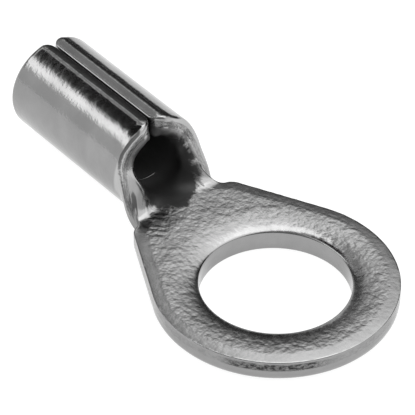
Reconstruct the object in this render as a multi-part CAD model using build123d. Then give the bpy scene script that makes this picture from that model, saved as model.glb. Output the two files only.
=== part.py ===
from build123d import *
from math import acos, atan2, cos, radians, sin, sqrt, tan
import os

# A ring terminal without insulation, stamped and rolled from one sheet, in millimetres. The origin is
# the centre of the stud hole on the underside. The wire barrel lies along +X with its seam on top (+Z),
# and the flat underside of the ring and the tongue is at Z = 0.

# Driving dimensions of the sheet and the ring
SHEET = 1.12
RING_DIAMETER = 10.7
STUD_HOLE_DIAMETER = 6.6

# Driving dimensions of the tongue, from the ring to the barrel
TONGUE_CORNER_RADIUS = 0.65
NECK_WIDTH = 4.4
NECK_FILLET_RADIUS = 0.5
NECK_FILLET_TURN = 72.0
NECK_LENGTH = 1.3
NECK_SPREAD_ANGLE = 80.0
NECK_BEND_SHARE = 0.87

# Driving dimensions of the wire barrel
BARREL_FRONT_X = 8.2
BARREL_LENGTH = 7.8
WIRE_BORE_DIAMETER = 2.34
WING_START_ANGLE = 125.0

# Driving dimensions of the seam, where each wing ends in a land pressed a little flatter than the roll
SEAM_GAP = 0.08
SEAM_LAND_WIDTH = 0.48
SEAM_LAND_DEPTH = 0.05
WING_STRAIGHT_ANGLE = 18.0
FRONT_CORNER_RADIUS = 0.8
REAR_CORNER_RADIUS = 0.5

# Edge forms left by the press and the plating
RIM_WIDTH = 0.65
RIM_DEPTH = 0.22
BEVEL_WIDTH = 0.53
BEVEL_DEPTH = 0.03
LOWER_EDGE_RADIUS = 0.45
WING_BEVEL = 0.2
BARREL_EDGE_RADIUS = 0.2
BORE_EDGE_RADIUS = 0.25

# Sections that carry the neck's surface, and how near two places count as the same
NECK_SECTIONS = 9
SAME_PLACE = 0.001

# Worked out from the driving dimensions
ring_radius = RING_DIAMETER / 2
hole_radius = STUD_HOLE_DIAMETER / 2
bore_radius = WIRE_BORE_DIAMETER / 2
barrel_radius = bore_radius + SHEET
roll_radius = bore_radius + SHEET / 2
barrel_rear_x = BARREL_FRONT_X + BARREL_LENGTH
neck_x = BARREL_FRONT_X - NECK_LENGTH
neck_half_width = NECK_WIDTH / 2
wing_start_half_width = radians(WING_START_ANGLE) * roll_radius


def tongue_side():
    """One side of the tongue in plan: a tangent off the ring, a round corner and the neck's fillet."""
    turn = radians(NECK_FILLET_TURN)
    fillet_centre = Vector(neck_x, neck_half_width + NECK_FILLET_RADIUS)
    to_corner = Vector(-sin(turn), -cos(turn))
    corner_centre = fillet_centre + to_corner * (NECK_FILLET_RADIUS + TONGUE_CORNER_RADIUS)
    # The side touches both the ring and the corner, which lie on the same side of it
    reach = acos((ring_radius - TONGUE_CORNER_RADIUS) / corner_centre.length)
    outward_angle = atan2(corner_centre.Y, corner_centre.X) + reach
    outward = Vector(cos(outward_angle), sin(outward_angle))
    along = Vector(outward.Y, -outward.X)
    ring_tangent = outward * ring_radius
    corner_start = corner_centre + outward * TONGUE_CORNER_RADIUS
    corner_end = fillet_centre + to_corner * NECK_FILLET_RADIUS
    neck_end = Vector(neck_x, neck_half_width)
    return [
        Line(ring_tangent, corner_start),
        TangentArc(corner_start, corner_end, tangent=along),
        TangentArc(neck_end, corner_end, tangent=(-1, 0)),
    ], ring_tangent


def ring_and_tongue():
    """The flat plate: a bevel round its top edge and a round lower edge, both open at the neck."""
    side, ring_tangent = tongue_side()
    other_side = [edge.mirror(Plane.XZ) for edge in side]
    ring_arc = ThreePointArc(ring_tangent, (-ring_radius, 0), (ring_tangent.X, -ring_tangent.Y))
    neck_line = Line((neck_x, neck_half_width), (neck_x, -neck_half_width))
    outline = make_face(side + other_side + [ring_arc, neck_line])
    plate = extrude(outline, SHEET, dir=(0, 0, 1))
    underside = plate.faces().sort_by(Axis.Z)[0]
    lower_edges = [edge for edge in underside.edges() if not lies_at_neck(edge)]
    plate = fillet(lower_edges, LOWER_EDGE_RADIUS)
    top = plate.faces().sort_by(Axis.Z)[-1]
    top_edges = [edge for edge in top.edges() if not lies_at_neck(edge)]
    return chamfer(top_edges, BEVEL_WIDTH, BEVEL_DEPTH, reference=top)


def lies_at_neck(edge):
    """Whether an edge is on the section where the flat tongue meets the neck."""
    return edge.center().X > neck_x - SAME_PLACE


def stud_hole():
    """The punched hole, with the wide sunk rim that the punch leaves on the top side."""
    rim_radius = hole_radius + RIM_WIDTH
    above = 2 * SHEET
    below = -SHEET
    wall = Polyline(
        (rim_radius, 0, SHEET),
        (rim_radius, 0, above),
        (0, 0, above),
        (0, 0, below),
        (hole_radius, 0, below),
        (hole_radius, 0, SHEET - RIM_DEPTH),
    )
    rim_plane = Plane((rim_radius, 0, SHEET - RIM_DEPTH), x_dir=(1, 0, 0), z_dir=(0, -1, 0))
    rim = rim_plane * EllipticalCenterArc((0, 0), RIM_WIDTH, RIM_DEPTH, start_angle=90, arc_size=90)
    return revolve(make_face([wall, rim]), axis=Axis.Z)


def neck_section(x, curvature, half_width, bevel_width, bevel_depth, edge_radius):
    """A cross-section of the sheet at x, bent upwards about a line along X."""

    def bent(across, height):
        if curvature == 0:
            return Vector(x, across, height)
        bend_radius = 1 / curvature
        turn = across * curvature
        reach = bend_radius + SHEET / 2 - height
        return Vector(x, reach * sin(turn), bend_radius + SHEET / 2 - reach * cos(turn))

    def curve(*points):
        if curvature == 0 and points[0][1] == points[2][1]:
            return Line(bent(*points[0]), bent(*points[2]))
        return ThreePointArc(*[bent(*point) for point in points])

    flat_edge = half_width - edge_radius
    round_middle = edge_radius * (1 - sqrt(0.5))
    top_edge = half_width - bevel_width
    bevel_foot = SHEET - bevel_depth
    edges = [
        curve((-flat_edge, 0), (0, 0), (flat_edge, 0)),
        curve((-top_edge, SHEET), (0, SHEET), (top_edge, SHEET)),
    ]
    for side in (-1, 1):
        edges.append(curve(
            (side * flat_edge, 0),
            (side * (half_width - round_middle), round_middle),
            (side * half_width, edge_radius),
        ))
        edges.append(Line(bent(side * half_width, edge_radius), bent(side * half_width, bevel_foot)))
        edges.append(Line(bent(side * half_width, bevel_foot), bent(side * top_edge, SHEET)))
    return make_face(edges)


def neck():
    """The neck, where the flat tongue's edges rise and spread into the barrel's wings."""
    sections = []
    spread_angle = radians(NECK_SPREAD_ANGLE)
    for number in range(NECK_SECTIONS):
        # The edge of the sheet follows a fillet, so the sections close up towards the barrel
        turn = spread_angle * number / (NECK_SECTIONS - 1)
        forward = sin(turn) / sin(spread_angle)
        spread = (1 - cos(turn)) / (1 - cos(spread_angle))
        bent_share = min(1, forward / NECK_BEND_SHARE)
        rise = bent_share**2 * (3 - 2 * bent_share)
        sections.append(neck_section(
            x=neck_x + forward * NECK_LENGTH,
            curvature=rise / roll_radius,
            half_width=neck_half_width + spread * (wing_start_half_width - neck_half_width),
            bevel_width=BEVEL_WIDTH + rise * (WING_BEVEL - BEVEL_WIDTH),
            bevel_depth=BEVEL_DEPTH + rise * (WING_BEVEL - BEVEL_DEPTH),
            edge_radius=LOWER_EDGE_RADIUS + rise * (BARREL_EDGE_RADIUS - LOWER_EDGE_RADIUS),
        ))
    # The sheet runs on into the barrel, past the rounded edges of the barrel's free end
    root_length = max(BARREL_EDGE_RADIUS, BORE_EDGE_RADIUS)
    return loft(sections) + extrude(sections[-1], root_length, dir=(1, 0, 0))


def roll_outline(radius):
    """A circle whose top runs straight up to the seam from both sides, as the wings' ends do."""
    angle = radians(WING_STRAIGHT_ANGLE)
    shoulder = Vector(BARREL_FRONT_X, radius * sin(angle), barrel_radius + radius * cos(angle))
    other_shoulder = Vector(shoulder.X, -shoulder.Y, shoulder.Z)
    peak = Vector(BARREL_FRONT_X, 0, barrel_radius + radius / cos(angle))
    bottom = Vector(BARREL_FRONT_X, 0, barrel_radius - radius)
    return make_face([
        ThreePointArc(shoulder, bottom, other_shoulder),
        Line(other_shoulder, peak),
        Line(peak, shoulder),
    ])


def rolled_wings():
    """The barrel's wall before its seam is cut, with softened edges at both ends."""
    outside = extrude(roll_outline(barrel_radius), BARREL_LENGTH, dir=(1, 0, 0))
    outer_edges = [edge for edge in outside.edges() if is_end_edge(edge)]
    outside = fillet(outer_edges, BARREL_EDGE_RADIUS)
    inside = extrude(roll_outline(bore_radius), BARREL_LENGTH, dir=(1, 0, 0))
    wall = outside - inside
    bore_edges = [edge for edge in wall.edges() if is_end_edge(edge) and edge_reach(edge) < roll_radius]
    return fillet(bore_edges, BORE_EDGE_RADIUS)


def is_end_edge(edge):
    """Whether an edge lies in a plane across the barrel, as those of its two ends do."""
    return edge.bounding_box().size.X < SAME_PLACE


def edge_reach(edge):
    """Greatest distance of an edge from the barrel's axis."""
    return max(sqrt(point.Y**2 + (point.Z - barrel_radius)**2) for point in (edge @ 0, edge @ 0.5, edge @ 1))


def seam():
    """The open seam: a thin gap through the wall, between two lands that slope down to it."""
    angle = radians(WING_STRAIGHT_ANGLE)
    half_gap = SEAM_GAP / 2
    land_edge = half_gap + SEAM_LAND_WIDTH
    land_z = barrel_radius + barrel_radius / cos(angle) - land_edge * tan(angle)
    above = land_z + barrel_radius
    x = BARREL_FRONT_X - SHEET
    half_outline = Polyline(
        (x, land_edge, above),
        (x, land_edge, land_z),
        (x, half_gap, land_z - SEAM_LAND_DEPTH),
        (x, half_gap, barrel_radius),
        (x, 0, barrel_radius),
        (x, 0, above),
        close=True,
    )
    half = extrude(make_face(half_outline), BARREL_LENGTH + 2 * SHEET, dir=(1, 0, 0))
    return half + half.mirror(Plane.XZ)


def wing_corners(end_x, inward, radius):
    """The space outside the two rounded wing corners at one end of the seam, seen from above."""
    half_gap = SEAM_GAP / 2
    reach = half_gap + radius
    start = Vector(end_x, reach, barrel_radius)
    tip = Vector(end_x + inward * radius, half_gap, barrel_radius)
    diagonal = radius * (1 - sqrt(0.5))
    middle = Vector(end_x + inward * diagonal, half_gap + diagonal, barrel_radius)
    outer_x = end_x - inward * SHEET
    edges = [
        ThreePointArc(start, middle, tip),
        Line(tip, (tip.X, 0, barrel_radius)),
        Line((tip.X, 0, barrel_radius), (outer_x, 0, barrel_radius)),
        Line((outer_x, 0, barrel_radius), (outer_x, reach, barrel_radius)),
        Line((outer_x, reach, barrel_radius), start),
    ]
    half = extrude(make_face(edges), barrel_radius * 2, dir=(0, 0, 1))
    return half + half.mirror(Plane.XZ)


def wire_barrel():
    """The rolled barrel, open along its seam, with the wings' corners rounded at both ends."""
    barrel = rolled_wings() - seam()
    barrel -= wing_corners(BARREL_FRONT_X, inward=1, radius=FRONT_CORNER_RADIUS)
    return barrel - wing_corners(barrel_rear_x, inward=-1, radius=REAR_CORNER_RADIUS)


def ring_terminal():
    """The whole terminal: the flat ring and tongue, the bent neck and the rolled barrel."""
    return ring_and_tongue() - stud_hole() + neck() + wire_barrel()


if __name__ == "__main__":
    os.makedirs("parts", exist_ok=True)
    terminal = ring_terminal()
    export_step(terminal, "parts/ring_terminal.step")
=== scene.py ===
import math

import bpy
from mathutils import Matrix, Vector, geometry, kdtree, noise


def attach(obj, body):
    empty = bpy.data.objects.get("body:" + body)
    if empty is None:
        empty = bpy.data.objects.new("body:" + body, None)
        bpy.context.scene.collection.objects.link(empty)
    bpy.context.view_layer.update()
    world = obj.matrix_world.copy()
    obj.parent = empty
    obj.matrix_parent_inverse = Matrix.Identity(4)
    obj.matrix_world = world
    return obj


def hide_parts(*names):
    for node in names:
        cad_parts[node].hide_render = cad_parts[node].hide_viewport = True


# A ring terminal without insulation, stamped and rolled from one tinned sheet. The mesh is first laid
# out as the flat blank, with s along the tongue, w across it and h up through the sheet. Then its wings
# are rolled up into the wire barrel. The material reads the same s, w and h.

MM = 0.001

# Sizes of the terminal in millimetres, and its angles
SHEET = 1.12
RING_RADIUS = 5.35
HOLE_RADIUS = 3.3
CORNER_RADIUS = 0.65
NECK_X = 6.9
NECK_HALF_WIDTH = 2.2
NECK_FILLET_RADIUS = 0.5
NECK_FILLET_TURN = math.radians(72.0)
NECK_LENGTH = 1.3
NECK_SPREAD_ANGLE = math.radians(80.0)
BARREL_FRONT_X = 8.2
BARREL_REAR_X = 16.0
BORE_RADIUS = 1.17
WING_START_ANGLE = math.radians(125.0)
STRAIGHT_ANGLE = math.radians(18.0)
HALF_GAP = 0.04
LAND_WIDTH = 0.48
LAND_DEPTH = 0.05
FRONT_CORNER_RADIUS = 0.8
REAR_CORNER_RADIUS = 0.5

# Where the neck's bend starts, as a distance in front of NECK_X, and where it ends
NECK_EASE = 0.4
NECK_BEND_END = 8.03

# Forms of the edges
BAND_WIDTH = 0.53
BAND_DEPTH = 0.03
BAND_FOOT = 0.03
BAND_CURVE = 1.7
RIM_WIDTH = 0.65
RIM_DEPTH = 0.22
RIM_BORDER = 0.03
DISH_DEPTH = 0.042
LOWER_RADIUS = 0.45
HOLE_LOWER_RADIUS = 0.08
FRONT_BORE_RADIUS = 0.52
BORE_EDGE_RADIUS = 0.25
OUTER_EDGE_RADIUS = 0.2
SEAM_EDGE_RADIUS = 0.06

# The sharp edge below the band: distances in from the wall, and depths below the band's foot
SHARP_EDGE = ((0.012, 0.008), (0.002, 0.03), (0.0, 0.06))

# How far behind the front corners the rear's edge form is reached, and how near the seam its own is
REAR_MIX_LENGTH = 2.0
SEAM_MIX_REACH = 0.5
SEAM_MIX_LENGTH = 0.4

# The grainy strip that the press tears in the cut. It is deepest round one place of the ring's wall.
TORN_MIDDLE = math.radians(140.0)
TORN_HALF_SPREAD = math.radians(16.0)
TORN_SPREAD_FADE = 0.2
TORN_ELSEWHERE = 0.2
TORN_BARREL = 0.4
TORN_RELIEF = 0.018
TORN_PUSH = 0.5
TORN_PUSH_SWING = 1.5

# The strip's middle, half width and fade as shares of the wall's height, counted from the top
TORN_RING_CENTRE = 0.38
TORN_BARREL_CENTRE = 0.7
TORN_STRIP_HALF = 0.24
TORN_STRIP_FADE = 0.1

# The strip's two grains: along the wall and across it, for each millimetre, and their shares
TORN_GRAINS = ((3.2, 9.0, 0.6), (9.0, 16.0, 0.4))

# Relief of the hammered top, and burrs on the last rows above the sharp edge
HAMMER_RELIEF = 0.008
HAMMER_GRAIN = 2.3
BURR_HEIGHT = 0.022
BURR_GRAIN = 4.0
BURR_LEVEL = 3.0
BURR_ROWS = 3

# The mesh: spacing of its points, and how far its outer rows reach in from the edge
STEP = 0.095
GRID = 0.1
GRID_CLEARANCE = 0.6
RING_REACH = 0.6
BARREL_REACH = 0.3
RIM_REACH = 0.74
CREASE = 0.03
SPREAD_SHARE = 0.8
SAME_POINT = 1e-6
FLAT_CURVATURE = 1e-6

# Rows of points in the profile of the outer edge, and in that of the hole
TOP_ROWS = 14
WALL_ROWS = 10
UNDER_ROWS = 8
BAND_FADE_ROWS = 4
HOLE_RIM_ROWS = 10
HOLE_WALL_ROWS = 5
HOLE_LOWER_ROWS = 4
HOLE_FADE_ROWS = 2

# Worked out from the sizes
roll_radius = BORE_RADIUS + SHEET / 2
outer_radius = BORE_RADIUS + SHEET
wing_start = WING_START_ANGLE * roll_radius
straight_start = (math.pi - STRAIGHT_ANGLE) * roll_radius


def straight_length(radius):
    """Length of a wing's straight end, at a radius of the roll, up to the seam's gap."""
    return (radius * math.sin(STRAIGHT_ANGLE) - HALF_GAP) / math.cos(STRAIGHT_ANGLE)


wing_end = straight_start + straight_length(roll_radius)
outer_stretch = straight_length(outer_radius) / straight_length(roll_radius)
land_width = LAND_WIDTH / math.cos(STRAIGHT_ANGLE) / outer_stretch
land_slope = math.tan(STRAIGHT_ANGLE + math.atan(LAND_DEPTH / LAND_WIDTH)) * outer_stretch


def smooth_step(value):
    value = min(1.0, max(0.0, value))
    return value * value * (3 - 2 * value)


def mix(first, second, share):
    return first + (second - first) * share


def rise_at(s):
    """How far the sheet is rolled up at s, from 0 on the tongue to 1 in the barrel."""
    start = NECK_X - NECK_EASE
    share = min(1.0, max(0.0, (s - start) / (NECK_BEND_END - start)))
    return share**3 * (share * (share * 6 - 15) + 10)


def line(start, end):
    """Points from start towards end, about STEP apart, without the last one."""
    count = max(1, round(math.dist(start, end) / STEP))
    return [(mix(start[0], end[0], i / count), mix(start[1], end[1], i / count)) for i in range(count)]


def arc(centre, radius, start, end):
    """Points round an arc from one angle to another, about STEP apart, without the last one."""
    count = max(2, round(abs(end - start) * radius / STEP))
    angles = [mix(start, end, i / count) for i in range(count)]
    return [(centre[0] + radius * math.cos(a), centre[1] + radius * math.sin(a)) for a in angles]


def half_outline():
    """One side of the flat blank, from the far end of the ring to the middle of the rear end."""
    fillet_centre = (NECK_X, NECK_HALF_WIDTH + NECK_FILLET_RADIUS)
    centre_distance = NECK_FILLET_RADIUS + CORNER_RADIUS
    corner = (
        fillet_centre[0] - centre_distance * math.sin(NECK_FILLET_TURN),
        fillet_centre[1] - centre_distance * math.cos(NECK_FILLET_TURN),
    )
    # The straight side touches both the ring and the corner
    reach = math.acos((RING_RADIUS - CORNER_RADIUS) / math.hypot(*corner))
    outward = math.atan2(corner[1], corner[0]) + reach
    ring_end = (RING_RADIUS * math.cos(outward), RING_RADIUS * math.sin(outward))
    corner_start = (
        corner[0] + CORNER_RADIUS * math.cos(outward),
        corner[1] + CORNER_RADIUS * math.sin(outward),
    )
    points = arc((0, 0), RING_RADIUS, math.pi, outward)
    points += line(ring_end, corner_start)
    to_fillet = math.pi / 2 - NECK_FILLET_TURN
    points += arc(corner, CORNER_RADIUS, outward, to_fillet)
    points += arc(fillet_centre, NECK_FILLET_RADIUS, to_fillet - math.pi, -math.pi / 2)
    # The neck spreads into the wing on an arc, stretched to fit the neck's length and the wing's width
    spread_steps = round((wing_start - NECK_HALF_WIDTH + NECK_LENGTH) * SPREAD_SHARE / STEP)
    for i in range(spread_steps):
        turn = NECK_SPREAD_ANGLE * i / spread_steps
        forward = math.sin(turn) / math.sin(NECK_SPREAD_ANGLE)
        spread = (1 - math.cos(turn)) / (1 - math.cos(NECK_SPREAD_ANGLE))
        points.append((NECK_X + forward * NECK_LENGTH, mix(NECK_HALF_WIDTH, wing_start, spread)))
    front_corner = (BARREL_FRONT_X + FRONT_CORNER_RADIUS, wing_end - FRONT_CORNER_RADIUS)
    rear_corner = (BARREL_REAR_X - REAR_CORNER_RADIUS, wing_end - REAR_CORNER_RADIUS)
    points += line((BARREL_FRONT_X, wing_start), (BARREL_FRONT_X, front_corner[1]))
    points += arc(front_corner, FRONT_CORNER_RADIUS, math.pi, math.pi / 2)
    points += line((front_corner[0], wing_end), (rear_corner[0], wing_end))
    points += arc(rear_corner, REAR_CORNER_RADIUS, math.pi / 2, 0)
    points += line((BARREL_REAR_X, rear_corner[1]), (BARREL_REAR_X, 0))
    return points


def whole_outline():
    """The blank's whole outline, clockwise, and the inward direction at each point."""
    half = half_outline()
    points = half + [(BARREL_REAR_X, 0)] + [(s, -w) for s, w in reversed(half[1:])]
    count = len(points)
    inward = []
    for i in range(count):
        before = Vector(points[i - 1])
        after = Vector(points[(i + 1) % count])
        along = (after - before).normalized()
        inward.append((along.y, -along.x))
    return points, inward


def top_height(s, w):
    """Height of the upper side of the flat blank, which is dished a little round the hole."""
    from_rim = math.hypot(s, w) - HOLE_RADIUS - RIM_WIDTH
    flat_width = RING_RADIUS - BAND_WIDTH - HOLE_RADIUS - RIM_WIDTH
    share = max(0.0, 1 - from_rim / flat_width)
    return SHEET - DISH_DEPTH * (share**2 if share < 1 else 2 * share - 1)


def under_height(s, w):
    """Height of the lower side, which becomes the barrel's outside, with a land beside the seam."""
    depth = abs(w) - (wing_end - land_width)
    if s < BARREL_FRONT_X - STEP or depth < -CREASE:
        return 0.0
    if depth < CREASE:
        return land_slope * (depth + CREASE) ** 2 / (4 * CREASE)
    return land_slope * depth


def round_rows(count, radius, reach):
    """A quarter round of an edge, from its inner end to the wall, after one row at the full reach.

    Each row is a distance in from the wall, and a depth from the side that it belongs to.
    """
    rows = [(reach, 0.0)]
    for i in range(count - 1):
        turn = math.pi / 2 * i / (count - 2)
        rows.append((radius * (1 - math.sin(turn)), radius * (1 - math.cos(turn))))
    return rows


def band_rows():
    """The smooth band along the ring's upper edge, down to the sharp edge that the press leaves."""
    rows = [(RING_REACH, 0.0)]
    inner = TOP_ROWS - len(rows) - len(SHARP_EDGE)
    for i in range(inner):
        share = (i + 1) / inner
        rows.append((mix(RING_REACH, BAND_FOOT, share), BAND_DEPTH * share**BAND_CURVE))
    rows += [(distance, BAND_DEPTH + depth) for distance, depth in SHARP_EDGE]
    return rows


# Each profile: the rows of its upper edge and those of its lower edge
RING_PROFILE = (band_rows(), round_rows(UNDER_ROWS, LOWER_RADIUS, RING_REACH))
FRONT_PROFILE = (
    round_rows(TOP_ROWS, FRONT_BORE_RADIUS, RING_REACH),
    round_rows(UNDER_ROWS, OUTER_EDGE_RADIUS, RING_REACH),
)
REAR_PROFILE = (
    round_rows(TOP_ROWS, BORE_EDGE_RADIUS, BARREL_REACH),
    round_rows(UNDER_ROWS, OUTER_EDGE_RADIUS, BARREL_REACH),
)
SEAM_PROFILE = (
    round_rows(TOP_ROWS, SEAM_EDGE_RADIUS, BARREL_REACH),
    round_rows(UNDER_ROWS, SEAM_EDGE_RADIUS, BARREL_REACH),
)


def mixed_row(side, row, rise, rear, seam):
    """A row of the profile between the ring's, the barrel's ends' and the seam's."""
    result = []
    for part in (0, 1):
        barrel = mix(FRONT_PROFILE[side][row][part], REAR_PROFILE[side][row][part], rear)
        barrel = mix(barrel, SEAM_PROFILE[side][row][part], seam)
        result.append(mix(RING_PROFILE[side][row][part], barrel, rise))
    return result


class Blank:
    """Points of the flat blank with what the material needs to know of each, and its faces."""

    def __init__(self):
        self.points = []
        self.band = []
        self.torn = []
        self.faces = []

    def add(self, s, w, h, band=0.0, torn=0.0):
        self.points.append(Vector((s, w, h)))
        self.band.append(band)
        self.torn.append(torn)
        return len(self.points) - 1

    def add_strip(self, columns):
        """Quads between the columns of a closed run, each column a list of points."""
        for i in range(len(columns)):
            here = columns[i]
            there = columns[(i + 1) % len(columns)]
            for j in range(len(here) - 1):
                self.faces.append((here[j], there[j], there[j + 1], here[j + 1]))


def torn_push(s, w, h, torn):
    """How far the torn strip stands in from the wall at a point of it."""
    relief = 0.0
    for along, across, share in TORN_GRAINS:
        relief += noise.noise(Vector((s * along, w * along, h * across))) * share
    return torn * TORN_RELIEF * (TORN_PUSH + TORN_PUSH_SWING * relief)


def add_outer_edge(blank):
    """The band, wall and lower round along the whole outline. Returns its upper and lower inner loops."""
    points, inward = whole_outline()
    columns = []
    for (s, w), (ds, dw) in zip(points, inward):
        rise = rise_at(s)
        rear = smooth_step((s - BARREL_FRONT_X - FRONT_CORNER_RADIUS) / REAR_MIX_LENGTH)
        seam = smooth_step((abs(w) - (wing_end - SEAM_MIX_REACH)) / SEAM_MIX_LENGTH)
        from_torn = abs(math.atan2(abs(w), s) - TORN_MIDDLE)
        deep_torn = 1 - smooth_step((from_torn - TORN_HALF_SPREAD) / TORN_SPREAD_FADE) if w > 0 else 0.0
        torn_level = mix(mix(TORN_ELSEWHERE, 1.0, deep_torn), TORN_BARREL, rise)
        burr = noise.noise(Vector((s * BURR_GRAIN, w * BURR_GRAIN, BURR_LEVEL)))
        burr = BURR_HEIGHT * (1 - rise) * max(0.0, burr)
        column = []
        for row in range(TOP_ROWS):
            distance, depth = mixed_row(0, row, rise, rear, seam)
            if row >= TOP_ROWS - BURR_ROWS:
                depth -= burr
            ps, pw = s + ds * distance, w + dw * distance
            wall_top = top_height(ps, pw) - depth
            column.append(blank.add(ps, pw, wall_top, band=smooth_step(row / BAND_FADE_ROWS)))
        under_side = []
        for row in reversed(range(UNDER_ROWS)):
            distance, depth = mixed_row(1, row, rise, rear, seam)
            ps, pw = s + ds * distance, w + dw * distance
            under_side.append((ps, pw, under_height(ps, pw) + depth))
        wall_foot = under_side[0][2]
        for row in range(1, WALL_ROWS):
            share = row / WALL_ROWS
            # The press tears one half of the cut: on the barrel it is the outer half
            from_strip = abs(share - mix(TORN_RING_CENTRE, TORN_BARREL_CENTRE, rise))
            torn = torn_level * (1 - smooth_step((from_strip - TORN_STRIP_HALF) / TORN_STRIP_FADE))
            h = mix(wall_top, wall_foot, share)
            push = torn_push(s, w, h, torn)
            column.append(blank.add(s + ds * push, w + dw * push, h, band=1.0, torn=torn))
        for ps, pw, h in under_side:
            column.append(blank.add(ps, pw, h, band=1.0 - rise))
        columns.append(column)
    blank.add_strip(columns)
    return [column[0] for column in columns], [column[-1] for column in columns]


def hole_rows():
    """The hole's profile: distance out from its wall, height, and how smooth the tin is there.

    A height of None is that of the dished top at the same distance.
    """
    edge_depth = SHEET - top_height(HOLE_RADIUS, 0)
    rows = [(RIM_REACH, None, 0.0), (RIM_WIDTH + RIM_BORDER, None, 0.0)]
    for i in range(HOLE_RIM_ROWS + 1):
        turn = math.pi / 2 * i / HOLE_RIM_ROWS
        distance = RIM_WIDTH * (1 - math.sin(turn))
        height = top_height(HOLE_RADIUS + distance, 0) - (RIM_DEPTH - edge_depth) * (1 - math.cos(turn))
        band = smooth_step((i - HOLE_FADE_ROWS) / (HOLE_RIM_ROWS - 2 * HOLE_FADE_ROWS))
        rows.append((distance, height, band))
    for i in range(1, HOLE_WALL_ROWS + 1):
        rows.append((0.0, mix(SHEET - RIM_DEPTH, HOLE_LOWER_RADIUS, i / HOLE_WALL_ROWS), 1.0))
    for i in range(1, HOLE_LOWER_ROWS + 1):
        turn = math.pi / 2 * i / HOLE_LOWER_ROWS
        distance = HOLE_LOWER_RADIUS * (1 - math.cos(turn))
        rows.append((distance, HOLE_LOWER_RADIUS * (1 - math.sin(turn)), 1.0))
    return rows + [(RIM_REACH / 2, 0.0, 1.0), (RIM_REACH, 0.0, 1.0)]


def add_hole_edge(blank):
    """The sunk rim, wall and lower edge of the stud hole. Returns its upper and lower outer loops."""
    count = round(2 * math.pi * HOLE_RADIUS / STEP)
    rows = hole_rows()
    columns = []
    for i in range(count):
        angle = 2 * math.pi * i / count
        column = []
        for distance, height, band in rows:
            s = (HOLE_RADIUS + distance) * math.cos(angle)
            w = (HOLE_RADIUS + distance) * math.sin(angle)
            h = top_height(s, w) if height is None else height
            column.append(blank.add(s, w, h, band=band))
        columns.append(column)
    blank.add_strip(columns)
    return [column[0] for column in columns], [column[-1] for column in columns]


def grid_points(blank, loops):
    """Points inside the loops on level rows, with rows on the creases beside the seam."""
    near = kdtree.KDTree(sum(len(loop) for loop in loops))
    number = 0
    for loop in loops:
        for index in loop:
            point = blank.points[index]
            near.insert((point.x, point.y, 0), number)
            number += 1
    near.balance()
    crease = wing_end - land_width
    rows = [crease + CREASE, crease, crease - CREASE]
    w = crease - GRID
    while w > 0:
        rows.append(w)
        w -= GRID
    w = crease + CREASE + GRID / 2
    while w < wing_end - BARREL_REACH:
        rows.append(w)
        w += GRID
    result = []
    for row, w in enumerate(rows):
        s = -RING_RADIUS + (GRID / 2 if row % 2 else 0.0)
        while s < BARREL_REACH + BARREL_REAR_X:
            outside_hole = math.hypot(s, w) > HOLE_RADIUS + RIM_REACH
            for side in (1, -1):
                if outside_hole and near.find((s, side * w, 0))[2] > GRID_CLEARANCE * GRID:
                    result.append((s, side * w))
            s += GRID
    return result


def fill_sides(blank, outer, hole):
    """The upper and lower side, triangulated alike between the outline's and the hole's loops."""
    loops = (outer[0], hole[0])
    flat = []
    edges = []
    for loop in loops:
        start = len(flat)
        flat += [blank.points[index].xy for index in loop]
        edges += [(start + i, start + (i + 1) % len(loop)) for i in range(len(loop))]
    fixed = len(flat)
    inner = grid_points(blank, loops)
    flat += [Vector(point) for point in inner]
    inside_edges = 1
    result = geometry.delaunay_2d_cdt(flat, edges, [], inside_edges, SAME_POINT)
    triangles = []
    for triangle in result[2]:
        sources = [result[3][corner][0] for corner in triangle]
        # A triangle between three points of the hole's own loop lies across the hole
        if min(sources) < len(outer[0]) or max(sources) >= fixed:
            triangles.append(sources)
    for side, height in ((0, top_height), (1, under_height)):
        loop_points = list(outer[side]) + list(hole[side])
        placed = {}
        for triangle in triangles:
            corners = []
            for source in triangle:
                if source < fixed:
                    corners.append(loop_points[source])
                    continue
                if source not in placed:
                    s, w = inner[source - fixed]
                    h = height(s, w)
                    if side == 0:
                        bump = noise.noise(Vector((s * HAMMER_GRAIN, w * HAMMER_GRAIN, 0)))
                        h += HAMMER_RELIEF * (1 - rise_at(s)) * bump
                    placed[source] = blank.add(s, w, h)
                corners.append(placed[source])
            if side == 1:
                corners.reverse()
            blank.faces.append(tuple(corners))


def rolled(point):
    """Where a point of the flat blank comes to lie when the wings are rolled up."""
    s, w, h = point
    curvature = rise_at(s) / roll_radius
    if curvature < FLAT_CURVATURE:
        return Vector((s, w, h))
    side = math.copysign(1.0, w)
    centre = 1 / curvature + SHEET / 2
    radius = centre - h
    if s < BARREL_FRONT_X - STEP or abs(w) < straight_start:
        angle = w * curvature
        return Vector((s, radius * math.sin(angle), centre - radius * math.cos(angle)))
    # Each wing runs straight over its last stretch, up to the seam
    share = (abs(w) - straight_start) / (wing_end - straight_start)
    along = share * straight_length(radius)
    y = radius * math.sin(STRAIGHT_ANGLE) - along * math.cos(STRAIGHT_ANGLE)
    z = centre + radius * math.cos(STRAIGHT_ANGLE) + along * math.sin(STRAIGHT_ANGLE)
    return Vector((s, side * y, z))


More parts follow.
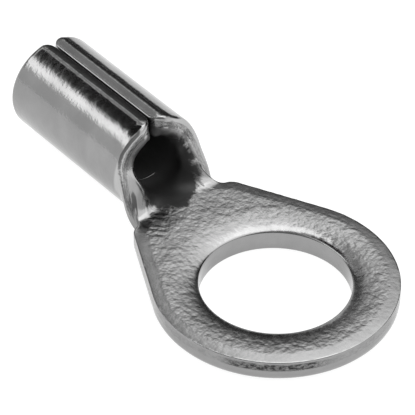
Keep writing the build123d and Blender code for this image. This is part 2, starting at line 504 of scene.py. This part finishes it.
def add_terminal(material):
    """The whole terminal as one mesh, which replaces the CAD node."""
    blank = Blank()
    outer = add_outer_edge(blank)
    hole = add_hole_edge(blank)
    fill_sides(blank, outer, hole)
    mesh = bpy.data.meshes.new("terminal_body")
    mesh.from_pydata([rolled(point) * MM for point in blank.points], [], blank.faces)
    place = mesh.attributes.new("blank_place", "FLOAT_VECTOR", "POINT")
    place.data.foreach_set("vector", [value for point in blank.points for value in point])
    for name, values in (("smooth_band", blank.band), ("torn_cut", blank.torn)):
        attribute = mesh.attributes.new(name, "FLOAT", "POINT")
        attribute.data.foreach_set("value", values)
    mesh.polygons.foreach_set("use_smooth", [True] * len(mesh.polygons))
    mesh.materials.append(material)
    mesh.update()
    body = bpy.data.objects.new("terminal_body", mesh)
    bpy.context.scene.collection.objects.link(body)
    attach(body, "root")
    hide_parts("ring_terminal")


class Nodes:
    """A short way to add nodes to a tree and to link them."""

    def __init__(self, tree):
        self.tree = tree

    def add(self, kind, **settings):
        node = self.tree.nodes.new(kind)
        for name, value in settings.items():
            setattr(node, name, value)
        return node

    def put(self, source, socket):
        if hasattr(source, "is_output"):
            self.tree.links.new(source, socket)
        else:
            socket.default_value = source

    def math(self, operation, first, second=0.0, third=0.0, clamp=False):
        node = self.add("ShaderNodeMath", operation=operation, use_clamp=clamp)
        for source, socket in zip((first, second, third), node.inputs):
            self.put(source, socket)
        return node.outputs[0]

    def smooth(self, value, low, high, at_low=0.0, at_high=1.0):
        """Goes smoothly from at_low to at_high while the value goes from low to high."""
        node = self.add("ShaderNodeMapRange", interpolation_type="SMOOTHSTEP")
        names = ("Value", "From Min", "From Max", "To Min", "To Max")
        for source, name in zip((value, low, high, at_low, at_high), names):
            self.put(source, node.inputs[name])
        return node.outputs["Result"]

    def noise(self, place, scale, detail, roughness):
        node = self.add("ShaderNodeTexNoise")
        self.put(place, node.inputs["Vector"])
        node.inputs["Scale"].default_value = scale
        node.inputs["Detail"].default_value = detail
        node.inputs["Roughness"].default_value = roughness
        return node.outputs["Fac"]

    def attribute(self, name, output="Fac"):
        node = self.add("ShaderNodeAttribute", attribute_name=name)
        return node.outputs[output]


# Noises of the tin: scale for each millimetre, detail and roughness
WRINKLE_NOISE = (4.4, 1.0, 0.5)
WAVE_NOISE = (1.6, 1.0, 0.4)
GRAIN_NOISE = (26.0, 2.0, 0.6)
SPARKLE_NOISE = (6.5, 2.0, 0.65)
TORN_NOISE = (4.5, 4.0, 0.75)
SHADE_NOISE = (0.7, 3.0, 0.5)
PAINTED_SHADE_NOISE = (3.5, 4.0, 0.65)
TORN_STRETCH = (1.0, 1.0, 1.8)

# Heights of the bumps in millimetres
WRINKLE_HEIGHT = 0.016
WAVE_HEIGHT = 0.006
GRAIN_HEIGHT = 0.0004
SPARKLE_HEIGHT = 0.009
TORN_HEIGHT = 0.06
SCRATCH_HEIGHT = 0.06

# Roughness of the lower side, and what is added to it
UNDER_ROUGHNESS = 0.12
UPPER_ROUGHER = 0.05
WRINKLE_ROUGHER = 0.08
TORN_ROUGHER = 0.22
TIPS_ROUGHER = 0.22
PAINTED_SHADE_ROUGHER = 0.25

# The hammered skin: its strength on the lower side, what the band takes off it, and its end's slant
UNDER_HAMMER = 0.16
BAND_SMOOTHER = 0.7
HAMMER_SLANT = 0.45

# Shade of the tin, the painted light that brightens the cut at the wings' front, and how much less metallic
# the painted shade in the bore makes the tin
TIN = 0.30
CUT_PAINTED_LIGHT = 1.45
PAINTED_SHADE_DULL = 0.6

# Where the painted shade in the bore starts at the middle, and how its border runs back to each side
PAINTED_SHADE_START = 6.05
PAINTED_SHADE_SLOPE = 0.66
PAINTED_SHADE_LEAN = 0.07
PAINTED_SHADE_RAGGED = 1.1

# Middle of the scratch
SCRATCH_S = 8.85
SCRATCH_W = 0.25

# Smooth changes over a stretch in millimetres: its start and end, and the value before and after it
UPPER_SIDE = (0.45, 0.7, 0.0, 1.0)
HAMMER_END = (NECK_X - 0.8, NECK_X, 1.0, 0.1)
BURNISH_START = (4.3, 4.65, 0.0, 1.0)
BURNISH_END = (4.85, 4.95, 0.9, 0.3)
SCRATCH_WIDTH = (0.0, 0.05, 1.0, 0.0)
SCRATCH_LENGTH = (0.6, 0.95, 1.0, 0.0)
FRONT_START = (7.9, 8.1, 0.0, 1.0)
FRONT_END = (8.5, 8.9, 1.0, 0.0)
TIPS_START = (3.0, 3.6, 0.0, 1.0)
# The next three place the painted shade in the bore and on the wings' front tips, and the three after them
# the painted light on the cut at the wings' front
TIPS_PAINTED_SHADE = (4.1, 5.1, 0.0, 0.75)
PAINTED_SHADE_BORDER = (-0.12, 0.2, 0.0, 1.0)
PAINTED_SHADE_DARKNESS = (7.9, 8.8, 0.92, 0.70)
PAINTED_LIGHT_CUT_START = (7.0, 7.3, 0.0, 1.0)
PAINTED_LIGHT_CUT_END = (8.25, 8.4, 1.0, 0.0)
PAINTED_LIGHT_CUT_SIDE = (2.15, 2.5, 0.0, 1.0)

# Smooth changes over a stretch of a noise or a share
WRINKLE_CONTRAST = (0.3, 0.7, 0.0, 1.0)
SHADE_CONTRAST = (0.3, 0.7, TIN * 0.93, TIN * 1.07)
TORN_CONTRAST = (0.38, 0.62, -0.92, -0.1)
UNDER_ONLY = (0.0, 1.0, 1.0, 0.0)


def tin():
    """Tin plating: hammered on the flats, smooth on the bands, torn in the cut, with painted shade in the
    bore and painted light on the cut at the wings' front.
    """
    material = bpy.data.materials.new("tinned_copper")
    material.use_nodes = True
    n = Nodes(material.node_tree)
    shader = material.node_tree.nodes["Principled BSDF"]
    place = n.attribute("blank_place", "Vector")
    band = n.attribute("smooth_band")
    torn = n.attribute("torn_cut")
    axes = n.add("ShaderNodeSeparateXYZ")
    n.put(place, axes.inputs["Vector"])
    s, w, h = axes.outputs
    upper = n.smooth(h, *UPPER_SIDE)
    sideways = n.math("ABSOLUTE", w)
    # The hammered skin fades into the neck along a slanted line
    into_neck = n.math("MULTIPLY_ADD", sideways, -HAMMER_SLANT, s)
    open_top = n.smooth(into_neck, *HAMMER_END)
    level = n.math("MULTIPLY_ADD", upper, n.math("SUBTRACT", open_top, UNDER_HAMMER), UNDER_HAMMER)
    hammered = n.math("MULTIPLY_ADD", band, -BAND_SMOOTHER, 1.0)
    hammered = n.math("SUBTRACT", hammered, torn, clamp=True)
    hammered = n.math("MULTIPLY", hammered, level)

    wrinkle = n.noise(place, *WRINKLE_NOISE)
    torn_place = n.add("ShaderNodeMapping")
    n.put(place, torn_place.inputs["Vector"])
    torn_place.inputs["Scale"].default_value = TORN_STRETCH
    torn_grain = n.noise(torn_place.outputs["Vector"], *TORN_NOISE)

    height = n.math("MULTIPLY", n.math("MULTIPLY", wrinkle, hammered), WRINKLE_HEIGHT)
    height = n.math("MULTIPLY_ADD", n.noise(place, *WAVE_NOISE), WAVE_HEIGHT, height)
    height = n.math("MULTIPLY_ADD", n.math("MULTIPLY", torn_grain, torn), TORN_HEIGHT, height)
    height = n.math("MULTIPLY_ADD", n.noise(place, *GRAIN_NOISE), GRAIN_HEIGHT, height)
    # The press has burnished the outside beside the seam, so the grain stops there
    burnished = n.math("MULTIPLY", n.smooth(sideways, *BURNISH_START), n.smooth(sideways, *BURNISH_END))
    grainy = n.math("MULTIPLY", n.smooth(upper, *UNDER_ONLY), n.math("SUBTRACT", 1.0, burnished))
    grainy = n.math("MULTIPLY", grainy, SPARKLE_HEIGHT)
    sparkle = n.math("MULTIPLY", n.noise(place, *SPARKLE_NOISE), grainy)
    height = n.math("ADD", sparkle, height)
    # A thin scratch across the floor of the bore
    across = n.smooth(n.math("ABSOLUTE", n.math("SUBTRACT", s, SCRATCH_S)), *SCRATCH_WIDTH)
    along = n.smooth(n.math("ABSOLUTE", n.math("SUBTRACT", w, SCRATCH_W)), *SCRATCH_LENGTH)
    scratch = n.math("MULTIPLY", n.math("MULTIPLY", across, along), upper)
    height = n.math("MULTIPLY_ADD", scratch, SCRATCH_HEIGHT, height)
    bump = n.add("ShaderNodeBump")
    n.put(height, bump.inputs["Height"])
    bump.inputs["Distance"].default_value = MM
    bump.inputs["Strength"].default_value = 1.0
    n.put(bump.outputs["Normal"], shader.inputs["Normal"])

    # Painted shade inside the barrel, on the neck's floor and on the wings' front tips: the tin is made
    # less metallic and rougher there and its colour darker, with a ragged border, but not along the scratch
    front = n.math("MULTIPLY", n.smooth(s, *FRONT_START), n.smooth(s, *FRONT_END))
    border = n.math("MULTIPLY_ADD", sideways, PAINTED_SHADE_SLOPE, PAINTED_SHADE_START)
    border = n.math("MULTIPLY_ADD", w, PAINTED_SHADE_LEAN, border)
    ragged = n.math("MULTIPLY_ADD", n.noise(place, *PAINTED_SHADE_NOISE), PAINTED_SHADE_RAGGED, -PAINTED_SHADE_RAGGED / 2)
    painted_shade = n.smooth(n.math("ADD", n.math("SUBTRACT", s, border), ragged), *PAINTED_SHADE_BORDER)
    painted_shade = n.math("MAXIMUM", painted_shade, n.math("MULTIPLY", front, n.smooth(sideways, *TIPS_PAINTED_SHADE)))
    painted_shade = n.math("MULTIPLY", n.math("MULTIPLY", painted_shade, upper), n.math("SUBTRACT", 1.0, scratch))
    n.put(n.math("MULTIPLY_ADD", painted_shade, -PAINTED_SHADE_DULL, 1.0), shader.inputs["Metallic"])

    rough = n.math("MULTIPLY", hammered, n.smooth(wrinkle, *WRINKLE_CONTRAST))
    rough = n.math("MULTIPLY_ADD", rough, WRINKLE_ROUGHER, UNDER_ROUGHNESS)
    rough = n.math("MULTIPLY_ADD", upper, UPPER_ROUGHER, rough)
    rough = n.math("MULTIPLY_ADD", torn, TORN_ROUGHER, rough)
    tips = n.math("MULTIPLY", n.math("MULTIPLY", front, n.smooth(sideways, *TIPS_START)), upper)
    rough = n.math("MULTIPLY_ADD", tips, TIPS_ROUGHER, rough)
    n.put(n.math("MULTIPLY_ADD", painted_shade, PAINTED_SHADE_ROUGHER, rough), shader.inputs["Roughness"])

    shade = n.smooth(n.noise(place, *SHADE_NOISE), *SHADE_CONTRAST)
    torn_dark = n.math("MULTIPLY", torn, n.smooth(torn_grain, *TORN_CONTRAST))
    shade = n.math("MULTIPLY", shade, n.math("ADD", torn_dark, 1.0))
    # Painted shade: the colour is darkened where the painted shade lies, most on the neck's floor
    painted_shade_depth = n.math("MULTIPLY", painted_shade, n.smooth(s, *PAINTED_SHADE_DARKNESS))
    shade = n.math("MULTIPLY", shade, n.math("SUBTRACT", 1.0, painted_shade_depth))
    # Painted light: the colour of the cut at the front of the wings is brightened
    cut = n.math("MULTIPLY", n.smooth(s, *PAINTED_LIGHT_CUT_START), n.smooth(s, *PAINTED_LIGHT_CUT_END))
    cut = n.math("MULTIPLY", cut, n.smooth(sideways, *PAINTED_LIGHT_CUT_SIDE))
    shade = n.math("MULTIPLY", shade, n.math("MULTIPLY_ADD", cut, CUT_PAINTED_LIGHT - 1, 1.0))
    colour = n.add("ShaderNodeCombineColor")
    for name in ("Red", "Green", "Blue"):
        n.put(shade, colour.inputs[name])
    n.put(colour.outputs["Color"], shader.inputs["Base Color"])
    return material


# The camera looks at AIM, a point of the surface that the terminal lies on
AIM = Vector((6.590 * MM, -1.589 * MM, 0.0))
VIEW_AZIMUTH = 140.73
VIEW_ELEVATION = 39.20
VIEW_DISTANCE = 133.35 * MM
VIEW_ROLL = 0.66
SENSOR_WIDTH = 36.0
FOCAL_LENGTH = 260.24
CLIP_START = 1 * MM
CLIP_END = 100.0


def direction(azimuth, elevation):
    """Unit vector towards an azimuth, counted from +X towards +Y, and an elevation, in degrees."""
    turn = math.radians(azimuth)
    rise = math.radians(elevation)
    return Vector((math.cos(turn) * math.cos(rise), math.sin(turn) * math.cos(rise), math.sin(rise)))


def add_camera():
    data = bpy.data.cameras.new("camera")
    data.sensor_width = SENSOR_WIDTH
    data.lens = FOCAL_LENGTH
    data.clip_start = CLIP_START
    data.clip_end = CLIP_END
    camera = bpy.data.objects.new("camera", data)
    bpy.context.scene.collection.objects.link(camera)
    back = direction(VIEW_AZIMUTH, VIEW_ELEVATION)
    turned = (-back).to_track_quat("-Z", "Y").to_matrix() @ Matrix.Rotation(math.radians(VIEW_ROLL), 3, "Z")
    camera.location = AIM + back * VIEW_DISTANCE
    camera.rotation_euler = turned.to_euler()
    bpy.context.scene.camera = camera


# The floor and its low backdrop, in metres: a grey that takes the shadow, and its own pale glow
FLOOR_REACH = 0.6
FLOOR_DROP = 0.02 * MM
FLOOR_GREY = 0.25
FLOOR_GLOW = 0.92
BACKDROP_SIDES = 96
BACKDROP_REACH = 0.66
BACKDROP_HEIGHT = 0.05


def plain_ray(n):
    """1 for camera, mirror and glass rays, which see the background as it should look."""
    path = n.add("ShaderNodeLightPath")
    seen = n.math("ADD", path.outputs["Is Camera Ray"], path.outputs["Is Glossy Ray"])
    return n.math("ADD", seen, path.outputs["Is Transmission Ray"], clamp=True)


def add_floor():
    """A pale floor whose far border rises as a low backdrop."""
    mesh = bpy.data.meshes.new("floor")
    corners = []
    for reach, height in ((FLOOR_REACH, -FLOOR_DROP), (BACKDROP_REACH, BACKDROP_HEIGHT)):
        for i in range(BACKDROP_SIDES):
            angle = math.tau * i / BACKDROP_SIDES
            corners.append((reach * math.cos(angle), reach * math.sin(angle), height))
    faces = [tuple(range(BACKDROP_SIDES))]
    for i in range(BACKDROP_SIDES):
        after = (i + 1) % BACKDROP_SIDES
        faces.append((i, BACKDROP_SIDES + i, BACKDROP_SIDES + after, after))
    mesh.from_pydata(corners, [], faces)
    floor = bpy.data.objects.new("floor", mesh)
    bpy.context.scene.collection.objects.link(floor)
    material = bpy.data.materials.new("floor")
    material.use_nodes = True
    n = Nodes(material.node_tree)
    shader = material.node_tree.nodes["Principled BSDF"]
    shader.inputs["Base Color"].default_value = (FLOOR_GREY, FLOOR_GREY, FLOOR_GREY, 1)
    shader.inputs["Roughness"].default_value = 1.0
    shader.inputs["Specular IOR Level"].default_value = 0.0
    shader.inputs["Emission Color"].default_value = (1, 1, 1, 1)
    n.put(n.math("MULTIPLY", plain_ray(n), FLOOR_GLOW), shader.inputs["Emission Strength"])
    mesh.materials.append(material)


# The sky is a light tent with bright panels and dark cards in it, in degrees as seen from the terminal.
# A positive azimuth lies to the camera's right. Later parts lie over earlier ones, and a highest
# elevation of 100 leaves a part open at the zenith.
TENT = 0.92
SKY_PARTS = (
    # azimuth from the camera's, its half width, lowest and highest elevation, softness, brightness
    (150.0, 85.0, 42.0, 100.0, 3.5, 1.9),
    (180.0, 70.0, 58.0, 100.0, 6.0, 3.0),
    (180.0, 75.0, 20.0, 36.0, 3.0, 0.16),
    (168.0, 18.0, -2.0, 26.0, 5.0, 0.05),
    (-60.0, 95.0, 72.0, 100.0, 7.0, 0.3),
    (-10.0, 58.0, 6.0, 76.0, 6.0, 0.28),
    (126.0, 22.0, 4.0, 38.0, 4.0, 0.05),
    (-148.0, 22.0, 30.0, 41.0, 3.0, 0.06),
    (-164.0, 12.0, 41.0, 56.0, 3.0, 0.45),
    (-97.0, 24.0, 31.0, 45.0, 3.0, 2.6),
    (-127.0, 23.0, 45.0, 72.0, 2.0, 0.01),
)


def add_world():
    """The light tent with its bright panels and dark cards."""
    world = bpy.data.worlds.new("studio")
    bpy.context.scene.world = world
    world.use_nodes = True
    n = Nodes(world.node_tree)
    background = world.node_tree.nodes["Background"]
    place = n.add("ShaderNodeTexCoord").outputs["Generated"]
    axes = n.add("ShaderNodeSeparateXYZ")
    n.put(place, axes.inputs["Vector"])
    x, y, z = axes.outputs
    degrees = 180 / math.pi
    elevation = n.math("MULTIPLY", n.math("ARCSINE", z), degrees)
    brightness = TENT
    for azimuth, half_width, low, high, soft, level in SKY_PARTS:
        middle = direction(VIEW_AZIMUTH + azimuth, 0.0)
        forward = n.math("ADD", n.math("MULTIPLY", x, middle.x), n.math("MULTIPLY", y, middle.y))
        across = n.math("SUBTRACT", n.math("MULTIPLY", x, middle.y), n.math("MULTIPLY", y, middle.x))
        turn = n.math("MULTIPLY", n.math("ABSOLUTE", n.math("ARCTAN2", across, forward)), degrees)
        inside = n.smooth(turn, half_width - soft, half_width + soft, 1.0, 0.0)
        above = n.smooth(elevation, low - soft, low + soft)
        below = n.smooth(elevation, high - soft, high + soft, 1.0, 0.0)
        share = n.math("MULTIPLY", inside, n.math("MULTIPLY", above, below))
        # Mixes the part's brightness in by its share
        brightness = n.math("MULTIPLY_ADD", share, n.math("SUBTRACT", level, brightness), brightness)
    n.put(brightness, background.inputs["Strength"])
    background.inputs["Color"].default_value = (1, 1, 1, 1)


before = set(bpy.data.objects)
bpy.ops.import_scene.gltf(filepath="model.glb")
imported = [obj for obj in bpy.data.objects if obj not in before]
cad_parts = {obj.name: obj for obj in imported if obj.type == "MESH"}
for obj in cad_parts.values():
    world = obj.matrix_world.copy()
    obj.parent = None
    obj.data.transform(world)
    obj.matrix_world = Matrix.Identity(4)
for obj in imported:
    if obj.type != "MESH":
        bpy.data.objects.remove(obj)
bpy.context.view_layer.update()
add_camera()
add_floor()
add_world()
add_terminal(tin())

bpy.context.scene.view_settings.view_transform = "Standard"
